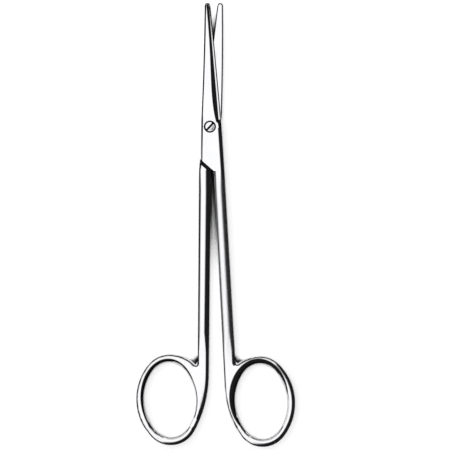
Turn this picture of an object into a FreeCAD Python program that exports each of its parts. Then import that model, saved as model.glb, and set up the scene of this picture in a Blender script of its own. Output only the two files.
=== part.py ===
import FreeCAD
import Part
import math
import os

# Dissecting scissors: two forged halves that cross at a lap joint and turn on a slotted screw.
# Millimetres. The origin is on the screw's axis at the underside of the lock, +Y runs to the
# tips, +X to the right seen from the screw's head, +Z up through the head. The rest pose is
# slightly open.

# Reaches along the instrument, from the screw's axis
tip_reach = 49.5
blade_middle = 24.0
crown_start = 5.0
heel_reach = 2.4
lock_corner = 13.3
crotch_reach = 92.0

# Lock, where the two halves lie on each other
lock_thickness = 4.4
ride_gap = 0.03
lap_angle = 41.0
shoulder_gap = 1.5
seam_tolerance = 0.005

# Blades: crowned outer face, wide ground bevel, narrow honed facet, hollow inner face
tip_width = 2.3
tip_thickness = 1.05
middle_thickness = 1.75
crown_rise = 0.16
crown_place = 0.4
edge_land = 0.14
honed_angle = 50.0
honed_width_tip = 0.45
honed_width_middle = 0.9
honed_width_heel = 0.95
grind_width_tip = 1.75
grind_width_middle = 2.4
grind_width_heel = 2.9
grind_width_end = 2.3
spine_easing = 0.5
easing_angle = 40.0
bevel_bulge = 0.03
heel_blend = 8.0
run_out_length = 3.0
hollow_depth = 0.08
hollow_margin = 0.7

# Crowned faces of the shanks, the rings and the lock's side: an arc from flat down to the flank
crown_angle = 43.0
side_crown = 1.7
ring_crown = 1.45
opening_crown = 1.0
shank_land = 0.2
crown_blend = 8.0

# Shanks and finger rings, as thick as the lock
opening_width = 21.4
opening_length = 31.0
opening_end_share = 0.75
ring_wall_sides = 2.75
ring_wall_ends = 2.55
return_angle = 97.0
crotch_fillet = 0.85
bow_start = 5.0

# Plan of the upper half: distances across, from the screw's axis
upper_spine_lock = 3.49
upper_spine_heel = 3.42
upper_spine_middle = 2.6
upper_tip_offset = -0.95
upper_edge_middle = 2.57
upper_edge_heel = 4.5
upper_shank_offset = 3.7
upper_shank_width = 4.2
upper_crotch_offset = 7.72
upper_crotch_width = 4.65
upper_opening_start = 9.9
upper_ring_drop = 110.0
upper_ring_tilt = 4.0
upper_crotch_fall = 2.7
upper_bow_rise = 5.5

# Plan of the lower half, seen from its own outer side, where its edge lies the same way
lower_spine_lock = 5.1
lower_spine_heel = 4.7
lower_spine_middle = 5.2
lower_tip_offset = -4.1
lower_edge_middle = 0.0
lower_edge_heel = 2.6
lower_shank_offset = 1.95
lower_shank_width = 4.7
lower_crotch_offset = 2.6
lower_crotch_width = 4.4
lower_opening_start = 5.25
lower_ring_drop = 109.3
lower_ring_tilt = -2.7
lower_crotch_fall = 3.9
lower_bow_rise = 9.8

# Screw
screw_diameter = 2.6
screw_clearance = 0.03
thread_diameter = 2.4
thread_clearance = 0.02
head_diameter = 4.3
head_height = 1.2
head_dome = 0.12
head_chamfer = 0.32
counterbore_diameter = 4.9
seat_gap = 0.02
slot_width = 0.65
slot_depth = 0.6
slot_angle = 47.0
end_chamfer = 0.15

half_thickness = lock_thickness / 2
opening_end_radius = opening_width / 2 * opening_end_share
inner_face = ride_gap / 2
tip_radius = tip_width / 2
tip_root = tip_reach - tip_radius
lap_slope = math.tan(math.radians(lap_angle))
crown_slope = math.radians(crown_angle)


def point(x, y, z=0.0):
    return FreeCAD.Vector(x, y, z)


def line(first, last):
    return Part.makeLine(first, last)


def arc(first, middle, last):
    return Part.Arc(first, middle, last).toShape()


def prism(edges, low, high):
    """A plan outline, drawn at z = 0, as a solid between two heights."""
    face = Part.Face(Part.Wire(edges))
    face.translate(point(0, 0, low))
    return face.extrude(point(0, 0, high - low))


def loft(sections, ruled=False):
    return Part.makeLoft(sections, True, ruled)


def between(start, end, share):
    return start + (end - start) * share


def across_arc(points, y):
    """How far across the arc through three points lies at one place along it."""
    circle = Part.Circle(*points)
    half_chord = math.sqrt(circle.Radius ** 2 - (y - circle.Center.y) ** 2)
    return circle.Center.x + math.copysign(half_chord, points[1].x - circle.Center.x)


# Plan of one half. Both halves are drawn from their own outer side: +X towards the cutting edge,
# z = 0 on the middle plane between them.


class Half:
    """The sizes of one half's plan, and the points and lines that follow from them."""

    def __init__(self, spine, tip_offset, edge, shank, crotch, ring, turns):
        self.spine_lock, self.spine_heel, self.spine_middle = spine
        self.edge_heel, self.edge_middle = edge
        self.tip_offset = tip_offset
        self.shank_offset, self.shank_width = shank
        self.crotch_offset, self.crotch_width = crotch
        opening_start, self.ring_drop, self.ring_tilt = ring
        self.ring_offset = opening_start + opening_width / 2
        crotch_fall, bow_rise = turns
        self.crotch_y = self.ring_point(0, opening_length / 2 + ring_wall_ends).y - crotch_fall
        self.bow_y = bow_rise - self.ring_drop
        self.join_y = self.crotch_y + bow_start
        self.shank_inner = self.shank_offset - self.shank_width / 2
        self.shank_top = self.lap_end(self.shank_inner)

    def lap_end(self, x):
        """The slanted end of the lock, which runs down from its corner on the spine side."""
        return -lock_corner - (x + self.spine_lock) * lap_slope

    def edge_points(self):
        """The cutting edge has a faint belly: heel, middle and the root of the round tip."""
        heel = point(self.edge_heel, heel_reach)
        middle = point(self.edge_middle, blade_middle)
        return heel, middle, point(self.tip_offset + tip_radius, tip_root)

    def spine_points(self):
        heel = point(-self.spine_heel, heel_reach)
        middle = point(-self.spine_middle, blade_middle)
        return heel, middle, point(self.tip_offset - tip_radius, tip_root)

    def edge_x(self, y):
        """How far across the cutting edge or, below its heel, the lock's side lies."""
        if y < heel_reach:
            share = (heel_reach - y) / (heel_reach - self.shank_top)
            side_end = self.shank_offset + self.shank_width / 2
            return between(self.edge_heel, side_end, share)
        return across_arc(self.edge_points(), y)

    def spine_x(self, y):
        """How far across the spine lies on the blade or, below its heel, on the lock."""
        if y < heel_reach:
            share = (heel_reach - y) / (heel_reach + lock_corner)
            return -between(self.spine_heel, self.spine_lock, share)
        return across_arc(self.spine_points(), y)

    def shank_sides(self, y, spare=0):
        """The shank's side towards the other shank and its side away from it."""
        share = (self.shank_top - y) / (self.shank_top + crotch_reach)
        centre = between(self.shank_offset, self.crotch_offset, share)
        width = between(self.shank_width, self.crotch_width, share) + 2 * spare
        return point(centre - width / 2, y), point(centre + width / 2, y)

    def ring_point(self, x, y):
        """A point given across and along the ring's own axes."""
        tilt = math.radians(self.ring_tilt)
        across = x * math.cos(tilt) - y * math.sin(tilt)
        along = x * math.sin(tilt) + y * math.cos(tilt)
        return point(self.ring_offset + across, along - self.ring_drop)


upper = Half(
    spine=(upper_spine_lock, upper_spine_heel, upper_spine_middle),
    tip_offset=upper_tip_offset,
    edge=(upper_edge_heel, upper_edge_middle),
    shank=(upper_shank_offset, upper_shank_width),
    crotch=(upper_crotch_offset, upper_crotch_width),
    ring=(upper_opening_start, upper_ring_drop, upper_ring_tilt),
    turns=(upper_crotch_fall, upper_bow_rise),
)
lower = Half(
    spine=(lower_spine_lock, lower_spine_heel, lower_spine_middle),
    tip_offset=lower_tip_offset,
    edge=(lower_edge_heel, lower_edge_middle),
    shank=(lower_shank_offset, lower_shank_width),
    crotch=(lower_crotch_offset, lower_crotch_width),
    ring=(lower_opening_start, lower_ring_drop, lower_ring_tilt),
    turns=(lower_crotch_fall, lower_bow_rise),
)


# Blade and lock: a flat blank, then the grinds that shape it


def blank(half):
    """The blade and the lock in plan, from the middle plane to the outer face of the lock."""
    corner = point(-half.spine_lock, -lock_corner)
    spine_heel, spine_middle, spine_tip = half.spine_points()
    edge_heel, edge_middle, edge_tip = half.edge_points()
    side_end = point(half.edge_x(half.shank_top), half.shank_top)
    lap_foot = point(half.shank_inner, half.shank_top)
    outline = [
        line(corner, spine_heel),
        arc(spine_heel, spine_middle, spine_tip),
        arc(spine_tip, point(half.tip_offset, tip_reach), edge_tip),
        arc(edge_tip, edge_middle, edge_heel),
        line(edge_heel, side_end),
        line(side_end, lap_foot),
        line(lap_foot, corner),
    ]
    return prism(outline, inner_face, half_thickness)


def crown_height(y):
    """Height of the crowned outer face above the middle plane, along its ridge."""
    if y > blade_middle:
        share = (y - blade_middle) / (tip_reach - blade_middle)
        return between(middle_thickness, tip_thickness, share)
    share = (y - crown_start) / (blade_middle - crown_start)
    return between(half_thickness, middle_thickness, share)


def crown_section(half, y):
    """What is ground off above the crown, at one place along the blade."""
    width = half.edge_x(y) - half.spine_x(y)
    ridge = half.spine_x(y) + width * crown_place
    high = lock_thickness
    low = crown_height(y) - 4 * crown_rise
    left, right = point(ridge - width, y, low), point(ridge + width, y, low)
    high_left, high_right = point(ridge - width, y, high), point(ridge + width, y, high)
    return Part.Wire([
        arc(left, point(ridge, y, crown_height(y)), right),
        line(right, high_right),
        line(high_right, high_left),
        line(high_left, left),
    ])


def crown_grind(half):
    return loft([
        crown_section(half, crown_start - heel_blend),
        crown_section(half, crown_start + heel_blend),
        crown_section(half, blade_middle),
        crown_section(half, tip_reach + tip_width),
    ])


def side_section(foot, facet, middle, shoulder):
    """A grind along the edge side: a straight facet, then a faintly round bevel up to the face."""
    high = 2 * lock_thickness
    over = point(shoulder.x, shoulder.y, high)
    corner = point(foot.x + lock_thickness, foot.y, high)
    outside = point(corner.x, foot.y, foot.z)
    return Part.Wire([
        line(foot, facet),
        arc(facet, middle, shoulder),
        line(shoulder, over),
        line(over, corner),
        line(corner, outside),
        line(outside, foot),
    ])


def bevel_section(half, y, honed_width, grind_width):
    """The honed facet and the ground bevel, at one place along the cutting edge."""
    edge = half.edge_x(y)
    land = inner_face + edge_land
    honed_top = land + honed_width * math.tan(math.radians(honed_angle))
    slope = (crown_height(y) - honed_top) / (grind_width - honed_width)
    run = honed_width + (lock_thickness - honed_top) / slope
    facet = point(edge - honed_width, y, honed_top)
    shoulder = point(edge - run, y, lock_thickness)
    middle = (facet + shoulder) / 2 + point(bevel_bulge, 0)
    return side_section(point(edge, y, land), facet, middle, shoulder)


def crown_arc(side, width, out=1, level=1):
    """Three points of a crown's arc, from the flank at a side to the flat face.

    out is 1 where the side is the right one, and level is 1 on the outer face.
    """
    radius = width / math.sin(crown_slope)
    points = []
    for turn in (crown_slope, crown_slope / 2, 0):
        across = out * (radius * math.sin(turn) - width)
        fall = radius * (1 - math.cos(turn))
        points.append(point(side.x + across, side.y, level * (half_thickness - fall)))
    return points


def rounding_section(half, y):
    """The crowned side of the lock, which the bevels run out into."""
    facet, middle, shoulder = crown_arc(point(half.edge_x(y), y), side_crown)
    return side_section(facet + point(side_crown, 0), facet, middle, shoulder)


def bevel_grind(half):
    return loft([
        bevel_section(half, tip_reach + tip_width, honed_width_tip, grind_width_tip),
        bevel_section(half, blade_middle, honed_width_middle, grind_width_middle),
        bevel_section(half, heel_reach + heel_blend, honed_width_heel, grind_width_heel),
        bevel_section(half, heel_reach, honed_width_heel, grind_width_end),
    ])


def run_out_grind(half):
    return loft([
        bevel_section(half, heel_reach, honed_width_heel, grind_width_end),
        rounding_section(half, heel_reach - run_out_length),
    ], ruled=True)


def lock_side_grind(half):
    return loft([
        rounding_section(half, heel_reach - run_out_length),
        rounding_section(half, half.shank_top),
    ], ruled=True)


def hollow_section(half, y, depth):
    low = inner_face - hollow_depth
    left = point(half.spine_x(y) + hollow_margin, y, low)
    right = point(half.edge_x(y) - hollow_margin, y, low)
    middle = point((left.x + right.x) / 2, y, inner_face + depth)
    return Part.Wire([arc(left, middle, right), line(right, left)])


def hollow_grind(half):
    """The shallow hollow of the inner face, so that the blades touch at their edges alone."""
    return loft([
        hollow_section(half, heel_reach + tip_width, -hollow_depth / 2),
        hollow_section(half, (heel_reach + blade_middle) / 2, hollow_depth),
        hollow_section(half, blade_middle + tip_width, hollow_depth),
        hollow_section(half, tip_reach - 2 * tip_width, -hollow_depth / 2),
    ])


def ease_section(half, y, height, easing, up):
    """A corner taken off a face's edge along the spine; up is 1 on the outer face."""
    left = half.spine_x(y) - easing
    right = left + 3 * easing
    fall = up * easing * math.tan(math.radians(easing_angle))
    low = point(left, y, height - 2 * fall)
    high_right = point(right, y, height + fall)
    high_left = point(left, y, height + fall)
    return Part.Wire([line(low, high_right), line(high_right, high_left), line(high_left, low)])


def round_tip_ease(half, section):
    tip = point(half.tip_offset, tip_root)
    return Part.Face(section).revolve(tip, point(0, 0, 1), -180)


def outer_spine_ease(half):
    """Takes the sharpness off the outer face along the lock, the spine and the round tip."""
    crown_fall = 4 * crown_rise * crown_place ** 2
    stations = (-lock_corner - spine_easing, crown_start, (crown_start + blade_middle) / 2,
                blade_middle, (blade_middle + tip_root) / 2, tip_root)
    sections = []
    for y in stations:
        height = min(crown_height(y) - crown_fall, half_thickness)
        sections.append(ease_section(half, y, height, spine_easing, 1))
    return loft(sections, ruled=True), round_tip_ease(half, sections[-1])


def inner_spine_ease(half):
    """The same on the inner face, where it runs out before the lock."""
    full = heel_reach + run_out_length
    sections = [ease_section(half, heel_reach, inner_face, ride_gap, -1)]
    for y in (full, (full + blade_middle) / 2, blade_middle, (blade_middle + tip_root) / 2,
              tip_root):
        sections.append(ease_section(half, y, inner_face, spine_easing, -1))
    return loft(sections, ruled=True), round_tip_ease(half, sections[-1])


def blade_and_lock(half):
    body = blank(half).cut(crown_grind(half))
    body = body.cut(outer_spine_ease(half)).cut(inner_spine_ease(half))
    for grind in (bevel_grind, run_out_grind, lock_side_grind, hollow_grind):
        body = body.cut(grind(half))
    return body


# Finger ring: outlines of tangent lines and arcs. A crown is the part of a rounded edge that is
# less steep than the crown's angle: the edge is rounded on an outline with some spare width, and
# the spare is then cut away.


def side_radius(half_width, half_length, end_radius):
    """Radius of an oval's long sides, tangent to the small arcs at its ends."""
    squares = half_width ** 2 + half_length ** 2
    return (squares - 2 * half_length * end_radius) / (2 * (half_width - end_radius))


def beyond(centre, other, radius):
    """The point on a circle that lies opposite another centre, where the two arcs are tangent."""
    return centre + (centre - other).normalize() * radius


def arc_round(centre, first, last, radius):
    """The arc about a centre that runs through the middle direction between its two ends."""
    middle = ((first - centre).normalize() + (last - centre).normalize()).normalize()
    return arc(first, centre + middle * radius, last)


def opening_outline(half, spare):
    """The finger opening: a four-centre oval."""
    wide, long = opening_width / 2 - spare, opening_length / 2 - spare
    end = opening_end_radius - spare
    side = side_radius(wide, long, end)
    right, left = half.ring_point(wide - side, 0), half.ring_point(side - wide, 0)
    top, bottom = half.ring_point(0, long - end), half.ring_point(0, end - long)
    top_right, top_left = beyond(top, right, end), beyond(top, left, end)
    bottom_right, bottom_left = beyond(bottom, right, end), beyond(bottom, left, end)
    return [
        arc(top_right, half.ring_point(0, long), top_left),
        arc(top_left, half.ring_point(-wide, 0), bottom_left),
        arc(bottom_left, half.ring_point(0, -long), bottom_right),
        arc(bottom_right, half.ring_point(wide, 0), top_right),
    ]


def bow_outline(half, spare):
    """Down the shank's inner side, round the ring, and back to the shank at the crotch."""
    root_inner, root_outer = half.shank_sides(half.join_y, spare)
    low_inner, low_outer = half.shank_sides(half.bow_y, spare)
    wide = opening_width / 2 + ring_wall_sides + spare
    long = opening_length / 2 + ring_wall_ends + spare
    end = opening_end_radius + ring_wall_ends + spare
    fillet = crotch_fillet - spare
    side = side_radius(wide, long, end)
    top, bottom = half.ring_point(0, long - end), half.ring_point(0, end - long)
    right = half.ring_point(wide - side, 0)

    down = (low_inner - root_inner).normalize()
    across = point(-down.y, down.x)
    to_bottom = bottom - low_inner
    depth, along = to_bottom.dot(across), to_bottom.dot(down)
    bow_radius = (along ** 2 + depth ** 2 - end ** 2) / (2 * (depth - end))
    bow_centre = low_inner + across * bow_radius
    bow_end = beyond(bottom, bow_centre, end)

    angle = math.radians(return_angle + half.ring_tilt)
    leave = top + point(math.cos(angle), math.sin(angle)) * end
    inwards = (top - leave).normalize()
    crotch = half.shank_sides(half.crotch_y, spare)[1]
    chord = crotch - leave
    return_radius = chord.Length ** 2 / (2 * chord.dot(inwards))
    return_centre = leave + inwards * return_radius

    up = (root_outer - low_outer).normalize()
    out = point(up.y, -up.x)
    start = low_outer + out * fillet
    from_centre = start - return_centre
    run = from_centre.dot(up)
    reach = return_radius + fillet
    rise = math.sqrt(run ** 2 - from_centre.Length ** 2 + reach ** 2) - run
    fillet_centre = start + up * rise
    fillet_foot = return_centre + (fillet_centre - return_centre).normalize() * return_radius
    fillet_side = fillet_centre - out * fillet

    bottom_right, top_right = beyond(bottom, right, end), beyond(top, right, end)
    return [
        line(root_inner, low_inner),
        arc_round(bow_centre, low_inner, bow_end, bow_radius),
        arc_round(bottom, bow_end, bottom_right, end),
        arc_round(right, bottom_right, top_right, side),
        arc_round(top, top_right, leave, end),
        arc_round(return_centre, leave, fillet_foot, return_radius),
        arc_round(fillet_centre, fillet_foot, fillet_side, fillet),
        line(fillet_side, root_outer),
        line(root_outer, root_inner),
    ]


def face_edges(solid, chosen):
    """The edges of the outer and the inner face that pass a test on their middle."""
    found = []
    for edge in solid.Edges:
        ends = [vertex.Point.z for vertex in edge.Vertexes]
        middle = edge.valueAt((edge.FirstParameter + edge.LastParameter) / 2)
        low, high = min(ends + [middle.z]), max(ends + [middle.z])
        if high - low < ride_gap and chosen(middle):
            found.append(edge)
    return found


def bow(half):
    """The finger ring and the shank's foot, crowned outside and round the opening."""
    share = 1 / math.sin(crown_slope)
    outer_spare, inner_spare = ring_crown * (share - 1), opening_crown * (share - 1)
    rod = prism(bow_outline(half, outer_spare), -half_thickness, half_thickness)
    root = half.join_y - ride_gap
    rod = rod.makeFillet(ring_crown * share, face_edges(rod, lambda middle: middle.y < root))
    rod = rod.cut(prism(opening_outline(half, inner_spare), -lock_thickness, lock_thickness))
    centre = half.ring_point(0, 0)
    reach = opening_length / 2 + ride_gap

    def in_opening(middle):
        x, y = middle.x - centre.x, middle.y - centre.y
        tilt = math.radians(half.ring_tilt)
        across = x * math.cos(tilt) + y * math.sin(tilt)
        along = y * math.cos(tilt) - x * math.sin(tilt)
        return math.hypot(across * opening_length / opening_width, along) < reach

    rod = rod.makeFillet(opening_crown * share, face_edges(rod, in_opening))
    rod = rod.common(prism(bow_outline(half, 0), -half_thickness, half_thickness))
    return rod.cut(prism(opening_outline(half, 0), -lock_thickness, lock_thickness))


def rod_section(inner, outer, inner_crown, outer_crown):
    """As thick as the lock, with crowned faces, from the inner to the outer side."""
    corners = [
        crown_arc(outer, outer_crown, level=-1)[::-1],
        crown_arc(outer, outer_crown),
        crown_arc(inner, inner_crown, out=-1)[::-1],
        crown_arc(inner, inner_crown, out=-1, level=-1),
    ]
    edges = []
    for corner, following in zip(corners, corners[1:] + corners[:1]):
        edges.append(arc(*corner))
        edges.append(line(corner[2], following[0]))
    return Part.Wire(edges)


def full_crown(half, y):
    """How wide a crown is that reaches almost to the middle of the shank."""
    inner, outer = half.shank_sides(y)
    return (outer.x - inner.x - shank_land) / 2


def shank_section(half, y):
    crown = full_crown(half, y)
    return rod_section(*half.shank_sides(y), crown, crown)


def shank(half):
    """Crowned all over in its middle, easing into the lock's side above and the bow below."""
    top, foot = half.shank_top, half.join_y
    return loft([
        rod_section(*half.shank_sides(top), full_crown(half, top), side_crown),
        shank_section(half, top - crown_blend),
        shank_section(half, foot + crown_blend),
        rod_section(*half.shank_sides(foot), ring_crown, ring_crown),
    ], ruled=True)


# Lap joint: the full-thickness shank ends in a slanted shoulder, clear of the other half's lock


def heel_section(half, y):
    inner = half.shank_sides(y)[0]
    outer = point(half.edge_x(y), y)
    return rod_section(inner, outer, full_crown(half, y), side_crown)


def lap_heel(half):
    """The root of the shank beside the lock, which the shoulder is cut from."""
    heel = loft([heel_section(half, -lock_corner), heel_section(half, half.shank_top)], ruled=True)
    reach = crotch_reach / 2
    above = Part.makeBox(2 * reach, 2 * reach, lock_thickness, point(-reach, -reach, inner_face))
    return heel.cut(above)


def lap_clearance(mate):
    """The room for the other half's lock, up to the shoulder that faces its slanted end."""
    drop = shoulder_gap / math.cos(math.radians(lap_angle))
    reach = crotch_reach / 4
    left = point(-reach, mate.lap_end(reach) - drop)
    right = point(reach, mate.lap_end(-reach) - drop)
    outline = [
        line(left, right),
        line(right, point(reach, tip_reach)),
        line(point(reach, tip_reach), point(-reach, tip_reach)),
        line(point(-reach, tip_reach), left),
    ]
    return prism(outline, -lock_thickness, inner_face)


def forging(half, mate):
    """One half before it is bored: blade, lock, shank and finger ring in one piece."""
    body = blade_and_lock(half).fuse([shank(half), bow(half), lap_heel(half)], seam_tolerance)
    return body.cut(lap_clearance(mate)).removeSplitter()


# Screw: it runs free in the upper half and is threaded into the lower one


def make_upper_half():
    body = forging(upper, lower)
    radius = screw_diameter / 2 + screw_clearance
    body = body.cut(Part.makeCylinder(radius, lock_thickness))
    floor = point(0, 0, half_thickness - head_height)
    body = body.cut(Part.makeCylinder(counterbore_diameter / 2, lock_thickness, floor))
    body.translate(point(0, 0, half_thickness))
    return body


def make_lower_half():
    body = forging(lower, upper)
    radius = thread_diameter / 2 + thread_clearance
    body = body.cut(Part.makeCylinder(radius, lock_thickness))
    body.rotate(point(0, 0, 0), point(0, 1, 0), 180)
    body.translate(point(0, 0, half_thickness))
    return body


def make_pivot_screw():
    end_radius, body_radius, head_radius = thread_diameter / 2, screw_diameter / 2, head_diameter / 2
    lower_top = half_thickness - inner_face
    seat = lock_thickness - head_height + seat_gap
    rim = lock_thickness - head_chamfer
    dome_edge = head_radius - head_chamfer
    dome_top = point(0, 0, lock_thickness + head_dome)
    # Half way out, a shallow dome has fallen by a quarter of its rise
    dome_middle = point(dome_edge / 2, 0, lock_thickness + head_dome * 3 / 4)
    corners = [
        point(0, 0, 0),
        point(end_radius - end_chamfer, 0, 0),
        point(end_radius, 0, end_chamfer),
        point(end_radius, 0, lower_top),
        point(body_radius, 0, lower_top),
        point(body_radius, 0, seat),
        point(head_radius, 0, seat),
        point(head_radius, 0, rim),
        point(dome_edge, 0, lock_thickness),
    ]
    edges = [line(first, last) for first, last in zip(corners, corners[1:])]
    edges.append(arc(corners[-1], dome_middle, dome_top))
    edges.append(line(dome_top, corners[0]))
    screw = Part.Face(Part.Wire(edges)).revolve(point(0, 0, 0), point(0, 0, 1), 360)
    slot_floor = lock_thickness + head_dome - slot_depth
    start = point(-head_diameter, -slot_width / 2, slot_floor)
    slot = Part.makeBox(2 * head_diameter, slot_width, slot_depth * 2, start)
    slot.rotate(point(0, 0, 0), point(0, 0, 1), slot_angle)
    return screw.cut(slot)


os.makedirs("parts", exist_ok=True)
make_upper_half().exportStep("parts/upper_half.step")
make_lower_half().exportStep("parts/lower_half.step")
make_pivot_screw().exportStep("parts/pivot_screw.step")
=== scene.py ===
import math

import bpy
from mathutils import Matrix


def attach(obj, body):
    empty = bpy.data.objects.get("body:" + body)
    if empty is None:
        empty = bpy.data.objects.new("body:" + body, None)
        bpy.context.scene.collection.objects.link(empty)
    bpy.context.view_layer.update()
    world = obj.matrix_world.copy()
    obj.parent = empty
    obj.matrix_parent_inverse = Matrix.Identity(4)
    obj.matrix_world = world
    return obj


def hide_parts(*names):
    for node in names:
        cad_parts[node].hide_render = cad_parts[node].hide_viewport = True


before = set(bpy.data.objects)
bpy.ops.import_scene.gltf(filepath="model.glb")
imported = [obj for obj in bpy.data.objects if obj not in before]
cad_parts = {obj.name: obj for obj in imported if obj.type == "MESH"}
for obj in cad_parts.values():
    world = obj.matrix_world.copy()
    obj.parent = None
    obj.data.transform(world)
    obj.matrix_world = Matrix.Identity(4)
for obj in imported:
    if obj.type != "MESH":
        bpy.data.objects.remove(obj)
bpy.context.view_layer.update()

# Camera: looks straight down on the scissors from far above, as the catalogue picture does,
# with the blade tips at the top of the frame.
frame_width = 0.18
frame_middle = (0.00604, -0.03932)
camera_height = 1.8
framed_height = 0.003
sensor_width = 36
clip_near, clip_far = 0.05, 60
bpy.ops.object.camera_add(location=(*frame_middle, camera_height), rotation=(0, 0, 0))
camera = bpy.context.active_object
camera.name = "camera_above"
camera.data.sensor_width = sensor_width
camera.data.lens = sensor_width * (camera_height - framed_height) / frame_width
camera.data.clip_start = clip_near
camera.data.clip_end = clip_far
bpy.context.scene.camera = camera
bpy.context.scene.view_settings.view_transform = "Standard"


# Studio: a broad soft light overhead and to the upper left, with black screens to the right and
# low down all round, so that polished steel shows white faces, black turned-away sides and thin
# black outlines. The backdrop that the camera sees is white.
towards_light = (-0.86, 0.51, 0.0)
light_starts, light_full = -0.22, -0.05
screens_end, sky_full = 0.44, 0.74
screen_black = (0.012, 0.012, 0.013, 1)
sky_white = (1.12, 1.12, 1.13, 1)
backdrop_white = (1, 1, 1, 1)


def join(tree, value, socket):
    """Links a socket to another, or writes a plain value into it."""
    if isinstance(value, bpy.types.NodeSocket):
        tree.links.new(value, socket)
    else:
        socket.default_value = value


def maths(tree, operation, first, second=0.0):
    """A Math node between two sockets or numbers; gives its output socket."""
    node = tree.nodes.new("ShaderNodeMath")
    node.operation = operation
    join(tree, first, node.inputs[0])
    join(tree, second, node.inputs[1])
    return node.outputs["Value"]


def ease(tree, value, start, end):
    """A smooth step from 0 at start to 1 at end; gives its output socket."""
    node = tree.nodes.new("ShaderNodeMapRange")
    node.interpolation_type = "SMOOTHSTEP"
    node.inputs["From Min"].default_value = start
    node.inputs["From Max"].default_value = end
    tree.links.new(value, node.inputs["Value"])
    return node.outputs["Result"]


def mix(tree, share, first, second, blend="MIX"):
    """A mix of two colours, the second by its share; gives its output socket."""
    node = tree.nodes.new("ShaderNodeMix")
    node.data_type = "RGBA"
    node.blend_type = blend
    join(tree, share, node.inputs["Factor"])
    join(tree, first, node.inputs["A"])
    join(tree, second, node.inputs["B"])
    return node.outputs["Result"]


studio = bpy.context.scene.world or bpy.data.worlds.new("studio")
bpy.context.scene.world = studio
studio.use_nodes = True
tree = studio.node_tree
tree.nodes.clear()
direction = tree.nodes.new("ShaderNodeTexCoord")
towards = tree.nodes.new("ShaderNodeVectorMath")
towards.operation = "DOT_PRODUCT"
towards.inputs[1].default_value = towards_light
tree.links.new(direction.outputs["Generated"], towards.inputs[0])
height = tree.nodes.new("ShaderNodeSeparateXYZ")
tree.links.new(direction.outputs["Generated"], height.inputs[0])
lit_side = ease(tree, towards.outputs["Value"], light_starts, light_full)
above_screens = ease(tree, height.outputs["Z"], screens_end, sky_full)
sky = mix(tree, maths(tree, "MULTIPLY", lit_side, above_screens), screen_black, sky_white)
rays = tree.nodes.new("ShaderNodeLightPath")
glow = tree.nodes.new("ShaderNodeBackground")
tree.links.new(mix(tree, rays.outputs["Is Camera Ray"], sky, backdrop_white), glow.inputs["Color"])
out = tree.nodes.new("ShaderNodeOutputWorld")
tree.links.new(glow.outputs["Background"], out.inputs["Surface"])


# Floor: a plain pale sheet that the scissors lie on. It keeps their soft shadow, and has shade
# painted into its colour and glow where steel nearly closes it in, as between the shanks beside
# the lock.
floor_side = 6.0
floor_colour = (0.9, 0.9, 0.9, 1)
painted_gap_shade_colour = (0.02, 0.02, 0.02, 1)
closed_in_reach = 0.0035
closed_in, in_the_open = 0.44, 0.57
closed_in_samples = 16
floor_lift = 0.64
floor_roughness, floor_gloss = 0.9, 0.1
bpy.ops.mesh.primitive_plane_add(size=floor_side, location=(0, 0, 0))
floor = bpy.context.active_object
floor.name = "floor"
sheet = bpy.data.materials.new("pale_sheet")
sheet.use_nodes = True
tree = sheet.node_tree
paint = tree.nodes["Principled BSDF"]
paint.inputs["Roughness"].default_value = floor_roughness
paint.inputs["Specular IOR Level"].default_value = floor_gloss
paint.inputs["Emission Color"].default_value = backdrop_white
around = tree.nodes.new("ShaderNodeAmbientOcclusion")
around.samples = closed_in_samples
around.inputs["Distance"].default_value = closed_in_reach
# Painted shade: the floor's colour and glow go dark where steel is close all round
open_floor = ease(tree, around.outputs["AO"], closed_in, in_the_open)
tree.links.new(mix(tree, open_floor, painted_gap_shade_colour, floor_colour), paint.inputs["Base Color"])
rays = tree.nodes.new("ShaderNodeLightPath")
shown = maths(tree, "MAXIMUM", rays.outputs["Is Camera Ray"], rays.outputs["Is Glossy Ray"])
shown = maths(tree, "MAXIMUM", shown, rays.outputs["Is Transmission Ray"])
lift = maths(tree, "MULTIPLY", maths(tree, "MULTIPLY", shown, floor_lift), open_floor)
tree.links.new(lift, paint.inputs["Emission Strength"])
floor.data.materials.append(sheet)


# Upper half: one forged and ground piece of stainless steel with its blade, lock, shank and
# finger ring. A belt polishes it lengthwise. Painted shade darkens the counterbore, the groove
# at the lap, a line along the cutting edge, the tip's rim, a patch at the heel and the ring's
# inside.
lock_face = 0.0044
blade_start, blade_end = 0.003, 0.0478
shank_start = -0.02
blade_crease, lock_crease, shank_crease = math.radians(6.5), math.radians(22), math.radians(38)
weld_distance = 0.0000005
thin_face = 0.000025
thin_face_rounds = 4
flat_face_weight = 100

steel_colour = (0.88, 0.88, 0.89, 1)
steel_roughness = 0.1
steel_fineness = 5200
steel_bump = 0.12
# Painted shade: the dark colour and duller gloss of the marks that stand in for shade
painted_shade_colour = (0.02, 0.02, 0.021, 1)
painted_shade_roughness = 0.4
satin_roughness = 0.15
satin_top, satin_top_full = -0.016, -0.024
satin_end_full, satin_end = -0.084, -0.098
line_stretch = (1.0, 0.035, 1.0)
line_depth = 0.00002
line_spread = 0.08
line_detail, cloud_detail = 4, 3
cloud_scale = 140
cloud_tone = 0.1

bore_radius = 0.00247
face_margin = 0.00002
lap_slope = math.tan(math.radians(41))
lap_corner = 0.0133
groove_width = 0.0015 / math.cos(math.radians(41))
groove_margins = (0.00002, 0.00003)
upper_lap_side, upper_lap_reach = -1, 0.0051
upper_groove_top = 0.00226
edge_shade_low, edge_shade_high = 0.0022, 0.00285
edge_shade_start = 0.0026
edge_shade_facing = 0.4
tip_centre = 0.04835
tip_rim = 0.00078
upper_tip_middle = -0.00096
heel_shade_slope = 0.22
heel_shade_reach = 0.00345
heel_shade_bottom, heel_shade_top = -0.0007, 0.0029
ring_rounding = 0.0041
ring_shade_softness = 0.012
upper_ring_shade_middle, upper_ring_shade_reach = (0.0195, -0.1080), (0.0118, 0.0153)


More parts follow.
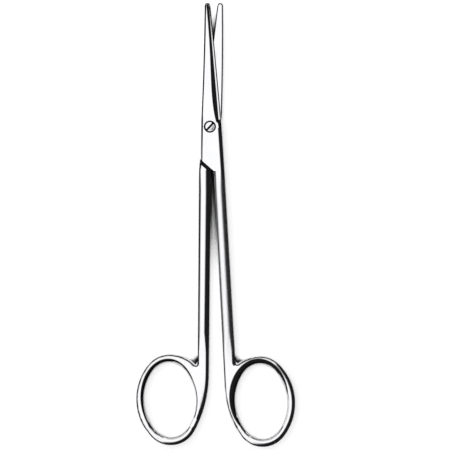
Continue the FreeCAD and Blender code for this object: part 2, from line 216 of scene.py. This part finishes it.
def mark_edges(piece):
    """Marks the edges that stay crisp: faint ones too along the ground blade, but only the outer
    ones on the rounded shank and ring. A hair-thin triangle counts as part of its neighbour."""
    mesh = piece.data
    faces_at = {}
    for face in mesh.polygons:
        for key in face.edge_keys:
            faces_at.setdefault(key, []).append(face.index)
    normal_of = {}
    thin = []
    for face in mesh.polygons:
        corners = [mesh.vertices[index].co for index in face.vertices]
        longest = max((corners[i] - corners[i - 1]).length for i in range(len(corners)))
        if 2 * face.area < thin_face * longest:
            thin.append(face)
        else:
            normal_of[face.index] = face.normal.copy()
    for thin_round in range(thin_face_rounds):
        found = {}
        for face in thin:
            beside = [other for key in face.edge_keys for other in faces_at[key]
                      if other in normal_of]
            if face.index not in normal_of and beside:
                nearest = min(beside, key=lambda other: face.normal.angle(normal_of[other], 0))
                found[face.index] = normal_of[nearest]
        normal_of.update(found)
    for edge in mesh.edges:
        normals = [normal_of[index] for index in faces_at[edge.key] if index in normal_of]
        if len(normals) == 2:
            first, second = edge.vertices
            middle = (mesh.vertices[first].co + mesh.vertices[second].co) / 2
            crease = lock_crease
            if middle.y < shank_start:
                crease = shank_crease
            elif blade_start < middle.y < blade_end:
                crease = blade_crease
            edge.use_edge_sharp = normals[0].angle(normals[1], 0) > crease


def finished(node, name):
    """A node's solid as one closed piece: merged, and smooth except at its crisp edges."""
    bpy.ops.object.select_all(action="DESELECT")
    piece = bpy.data.objects.new(name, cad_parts[node].data.copy())
    bpy.context.scene.collection.objects.link(piece)
    piece.data.materials.clear()
    bpy.context.view_layer.objects.active = piece
    piece.select_set(True)
    bpy.ops.object.mode_set(mode="EDIT")
    bpy.ops.mesh.select_all(action="SELECT")
    bpy.ops.mesh.remove_doubles(threshold=weld_distance)
    bpy.ops.object.mode_set(mode="OBJECT")
    bpy.ops.object.shade_smooth_by_angle(angle=lock_crease)
    mark_edges(piece)
    weigh = piece.modifiers.new("flat_faces_stay_flat", "WEIGHTED_NORMAL")
    weigh.keep_sharp = True
    weigh.weight = flat_face_weight
    bpy.ops.object.modifier_apply(modifier=weigh.name)
    return piece


# The grinding lines are the belt's fine lengthwise scratches, with faint clouds of tone
lines = bpy.data.node_groups.new("grinding_lines", "ShaderNodeTree")
for name in ("Fineness", "Roughness", "Spread", "Tone"):
    lines.interface.new_socket(name, in_out="INPUT", socket_type="NodeSocketFloat")
for name in ("Height", "Roughness", "Tone"):
    lines.interface.new_socket(name, in_out="OUTPUT", socket_type="NodeSocketFloat")
given = lines.nodes.new("NodeGroupInput")
result = lines.nodes.new("NodeGroupOutput")
place = lines.nodes.new("ShaderNodeTexCoord")
stretch = lines.nodes.new("ShaderNodeMapping")
stretch.inputs["Scale"].default_value = line_stretch
fine = lines.nodes.new("ShaderNodeTexNoise")
fine.inputs["Detail"].default_value = line_detail
cloud = lines.nodes.new("ShaderNodeTexNoise")
cloud.inputs["Scale"].default_value = cloud_scale
cloud.inputs["Detail"].default_value = cloud_detail
lines.links.new(place.outputs["Object"], stretch.inputs["Vector"])
lines.links.new(stretch.outputs["Vector"], fine.inputs["Vector"])
lines.links.new(given.outputs["Fineness"], fine.inputs["Scale"])
lines.links.new(place.outputs["Object"], cloud.inputs["Vector"])
scratch = maths(lines, "SUBTRACT", fine.outputs["Fac"], 0.5)
scratch = maths(lines, "MULTIPLY", scratch, given.outputs["Spread"])
patch = maths(lines, "SUBTRACT", cloud.outputs["Fac"], 0.5)
patch = maths(lines, "MULTIPLY", patch, given.outputs["Tone"])
lines.links.new(fine.outputs["Fac"], result.inputs["Height"])
lines.links.new(maths(lines, "ADD", scratch, given.outputs["Roughness"]), result.inputs["Roughness"])
lines.links.new(maths(lines, "ADD", patch, 1.0), result.inputs["Tone"])


def polished(name, colour, roughness, fineness, bump, painted_shade, satin=None):
    """Polished steel with its grinding lines. The shade function makes the mask of painted shade,
    dark and dull, and satin the mask of the stretch with a softer gloss."""
    steel = bpy.data.materials.new(name)
    steel.use_nodes = True
    tree = steel.node_tree
    shader = tree.nodes["Principled BSDF"]
    shader.inputs["Metallic"].default_value = 1.0
    place = tree.nodes.new("ShaderNodeTexCoord")
    spot = tree.nodes.new("ShaderNodeSeparateXYZ")
    tree.links.new(place.outputs["Object"], spot.inputs[0])
    facing = tree.nodes.new("ShaderNodeSeparateXYZ")
    tree.links.new(place.outputs["Normal"], facing.inputs[0])
    mask = painted_shade(tree, *spot.outputs, facing.outputs["X"])
    grain = tree.nodes.new("ShaderNodeGroup")
    grain.node_tree = lines
    grain.inputs["Fineness"].default_value = fineness
    grain.inputs["Roughness"].default_value = roughness
    grain.inputs["Spread"].default_value = line_spread
    grain.inputs["Tone"].default_value = cloud_tone
    if satin:
        softer = maths(tree, "MULTIPLY", satin(tree, spot.outputs["Y"]), satin_roughness)
        tree.links.new(maths(tree, "ADD", softer, roughness), grain.inputs["Roughness"])
    toned = mix(tree, 1.0, colour, grain.outputs["Tone"], "MULTIPLY")
    # Painted shade: the colour goes dark where the shade mask is set
    tree.links.new(mix(tree, mask, toned, painted_shade_colour), shader.inputs["Base Color"])
    duller = maths(tree, "MULTIPLY", mask, painted_shade_roughness)
    duller = maths(tree, "ADD", grain.outputs["Roughness"], duller)
    tree.links.new(duller, shader.inputs["Roughness"])
    ridge = tree.nodes.new("ShaderNodeBump")
    ridge.inputs["Strength"].default_value = bump
    ridge.inputs["Distance"].default_value = line_depth
    tree.links.new(grain.outputs["Height"], ridge.inputs["Height"])
    tree.links.new(ridge.outputs["Normal"], shader.inputs["Normal"])
    return steel


def within(tree, value, low, high):
    """1 where a value lies between two bounds, else 0."""
    above = maths(tree, "GREATER_THAN", value, low)
    below = maths(tree, "LESS_THAN", value, high)
    return maths(tree, "MULTIPLY", above, below)


def distance(tree, x, y):
    squares = maths(tree, "ADD", maths(tree, "POWER", x, 2.0), maths(tree, "POWER", y, 2.0))
    return maths(tree, "SQRT", squares)


def mark_group(name, values):
    """A node group for a dark mark that both halves have, with its values as inputs and its mask
    put out. Gives the group, the place on the piece, the inputs, and the mask's socket."""
    group = bpy.data.node_groups.new(name, "ShaderNodeTree")
    for value in values:
        group.interface.new_socket(value, in_out="INPUT", socket_type="NodeSocketFloat")
    group.interface.new_socket("Mask", in_out="OUTPUT", socket_type="NodeSocketFloat")
    place = group.nodes.new("ShaderNodeTexCoord")
    spot = group.nodes.new("ShaderNodeSeparateXYZ")
    group.links.new(place.outputs["Object"], spot.inputs[0])
    given = group.nodes.new("NodeGroupInput")
    result = group.nodes.new("NodeGroupOutput")
    return group, spot.outputs, given.outputs, result.inputs["Mask"]


def placed(tree, group, *values):
    """A mark's group set in a material with that material's own values; gives its mask."""
    node = tree.nodes.new("ShaderNodeGroup")
    node.node_tree = group
    for socket, value in zip(node.inputs, values):
        socket.default_value = value
    return node.outputs["Mask"]


# Painted shade in the lap groove, the narrow slanted one between one half's lock and the other
# half's shoulder
lap_groove_shade, spot, given, mask = mark_group("lap_groove_shade", ("Side", "Reach"))
fall = maths(lap_groove_shade, "MULTIPLY", spot["X"], given["Side"])
fall = maths(lap_groove_shade, "ADD", fall, given["Reach"])
down = maths(lap_groove_shade, "ADD", spot["Y"], maths(lap_groove_shade, "MULTIPLY", fall, lap_slope))
down = maths(lap_groove_shade, "ADD", down, lap_corner)
in_groove = within(lap_groove_shade, down, -groove_width - groove_margins[0], groove_margins[1])
lap_groove_shade.links.new(in_groove, mask)

# Painted shade: a dark rim round each blade's rounded tip
tip_rim_shade, spot, given, mask = mark_group("tip_rim_shade", ("Middle",))
across = maths(tip_rim_shade, "SUBTRACT", spot["X"], given["Middle"])
along = maths(tip_rim_shade, "SUBTRACT", spot["Y"], tip_centre)
rim = maths(tip_rim_shade, "GREATER_THAN", distance(tip_rim_shade, across, along), tip_rim)
beyond = maths(tip_rim_shade, "GREATER_THAN", along, 0.0)
tip_rim_shade.links.new(maths(tip_rim_shade, "MULTIPLY", rim, beyond), mask)

# Painted shade: each ring's inside rounding is dark at its upper left
ring_values = ("Middle X", "Middle Y", "Reach X", "Reach Y")
ring_inside_shade, spot, given, mask = mark_group("ring_inside_shade", ring_values)
across = maths(ring_inside_shade, "SUBTRACT", spot["X"], given["Middle X"])
across = maths(ring_inside_shade, "DIVIDE", across, given["Reach X"])
along = maths(ring_inside_shade, "SUBTRACT", spot["Y"], given["Middle Y"])
along = maths(ring_inside_shade, "DIVIDE", along, given["Reach Y"])
outwards = distance(ring_inside_shade, across, along)
inside = ease(ring_inside_shade, outwards, 1 + ring_shade_softness, 1 - ring_shade_softness)
high_up = maths(ring_inside_shade, "GREATER_THAN", spot["Z"], ring_rounding)
ring_inside_shade.links.new(maths(ring_inside_shade, "MULTIPLY", inside, high_up), mask)


def cutting_edge_shade(tree, y, z, facing_right):
    """A dark line of painted shade along the lowest part of the cutting edge."""
    low = within(tree, z, edge_shade_low, edge_shade_high)
    facing = maths(tree, "GREATER_THAN", facing_right, edge_shade_facing)
    on_blade = maths(tree, "GREATER_THAN", y, edge_shade_start)
    return maths(tree, "MULTIPLY", maths(tree, "MULTIPLY", low, facing), on_blade)


def heel_shade(tree, x, y):
    """A small dark patch of painted shade at the heel, where the grind runs out."""
    beyond = maths(tree, "ADD", x, maths(tree, "MULTIPLY", y, heel_shade_slope))
    near = maths(tree, "GREATER_THAN", beyond, heel_shade_reach)
    return maths(tree, "MULTIPLY", near, within(tree, y, heel_shade_bottom, heel_shade_top))


# Painted shade on the upper half: counterbore, lap groove, tip rim, heel, ring inside and edge line
def upper_painted_shade(tree, x, y, z, facing_right):
    in_bore = maths(tree, "LESS_THAN", distance(tree, x, y), bore_radius)
    below_face = maths(tree, "LESS_THAN", z, lock_face - face_margin)
    in_groove = placed(tree, lap_groove_shade, upper_lap_side, upper_lap_reach)
    low_down = maths(tree, "LESS_THAN", z, upper_groove_top)
    painted_shade = maths(tree, "MULTIPLY", in_bore, below_face)
    for mark in (maths(tree, "MULTIPLY", in_groove, low_down),
                 placed(tree, tip_rim_shade, upper_tip_middle),
                 heel_shade(tree, x, y),
                 placed(tree, ring_inside_shade, *upper_ring_shade_middle, *upper_ring_shade_reach),
                 cutting_edge_shade(tree, y, z, facing_right)):
        painted_shade = maths(tree, "MAXIMUM", painted_shade, mark)
    return painted_shade


def satin_shank(tree, y):
    starts = ease(tree, y, satin_top, satin_top_full)
    ends = ease(tree, y, satin_end, satin_end_full)
    return maths(tree, "MULTIPLY", starts, ends)


upper = finished("upper_half", "upper_half_steel")
upper.data.materials.append(polished("upper_steel", steel_colour, steel_roughness, steel_fineness,
                                     steel_bump, upper_painted_shade, satin_shank))
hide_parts("upper_half")
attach(upper, "upper_body")


# Lower half: the other forging of the same steel, which the screw is threaded into. Beside the
# upper blade its ground inner face shows, with a dark line of painted shade along its cutting edge.
# The lap groove, the tip's rim and the ring's inside have painted shade as well.
lower_lap_side, lower_lap_reach = 1, 0.00349
lower_groove_bottom = 0.0021
edge_slope = 0.1211
edge_crossing = 0.024
lower_edge_shade_width = 0.00044
lower_edge_shade_start, lower_edge_shade_end = 0.007, 0.0484
inner_face = 0.00215
lower_tip_middle = 0.0041
lower_ring_shade_middle, lower_ring_shade_reach = (-0.0167, -0.1080), (0.0111, 0.0153)


# Painted shade: a dark line beside the lower blade's cutting edge
def lower_edge_shade(tree, x, y, z):
    edge = maths(tree, "MULTIPLY", maths(tree, "SUBTRACT", y, edge_crossing), edge_slope)
    near = maths(tree, "LESS_THAN", maths(tree, "SUBTRACT", x, edge), lower_edge_shade_width)
    near = maths(tree, "MULTIPLY", near, within(tree, y, lower_edge_shade_start, lower_edge_shade_end))
    return maths(tree, "MULTIPLY", near, maths(tree, "GREATER_THAN", z, inner_face))


# Painted shade on the lower half: the lap groove, the edge line, the tip's rim and the ring's inside
def lower_painted_shade(tree, x, y, z, facing_right):
    in_groove = placed(tree, lap_groove_shade, lower_lap_side, lower_lap_reach)
    high_up = maths(tree, "GREATER_THAN", z, lower_groove_bottom)
    painted_shade = maths(tree, "MULTIPLY", in_groove, high_up)
    for mark in (lower_edge_shade(tree, x, y, z),
                 placed(tree, tip_rim_shade, lower_tip_middle),
                 placed(tree, ring_inside_shade, *lower_ring_shade_middle, *lower_ring_shade_reach)):
        painted_shade = maths(tree, "MAXIMUM", painted_shade, mark)
    return painted_shade


lower = finished("lower_half", "lower_half_steel")
lower.data.materials.append(polished("lower_steel", steel_colour, steel_roughness, steel_fineness,
                                     steel_bump, lower_painted_shade))
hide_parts("lower_half")
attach(lower, "lower_body")


# Pivot screw: turned from steel bar, with a slightly domed head that sits in the upper half's
# counterbore. Its slot and its chamfered rim are painted dark, as shade.
screw_colour = (0.86, 0.86, 0.87, 1)
screw_roughness = 0.14
screw_fineness = 9000
screw_bump = 0.1
slot_angle = math.radians(47)
slot_half_width = 0.00042
rim_radius = 0.00180


# Painted shade on the screw: its slot and the rim round its head
def screw_painted_shade(tree, x, y, z, facing_right):
    across = maths(tree, "SUBTRACT", maths(tree, "MULTIPLY", y, math.cos(slot_angle)),
                   maths(tree, "MULTIPLY", x, math.sin(slot_angle)))
    in_slot = maths(tree, "LESS_THAN", maths(tree, "ABSOLUTE", across), slot_half_width)
    rim = maths(tree, "GREATER_THAN", distance(tree, x, y), rim_radius)
    return maths(tree, "MAXIMUM", rim, in_slot)


screw = finished("pivot_screw", "pivot_screw_steel")
screw.data.materials.append(polished("turned_steel", screw_colour, screw_roughness, screw_fineness,
                                     screw_bump, screw_painted_shade))
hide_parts("pivot_screw")
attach(screw, "lower_body")
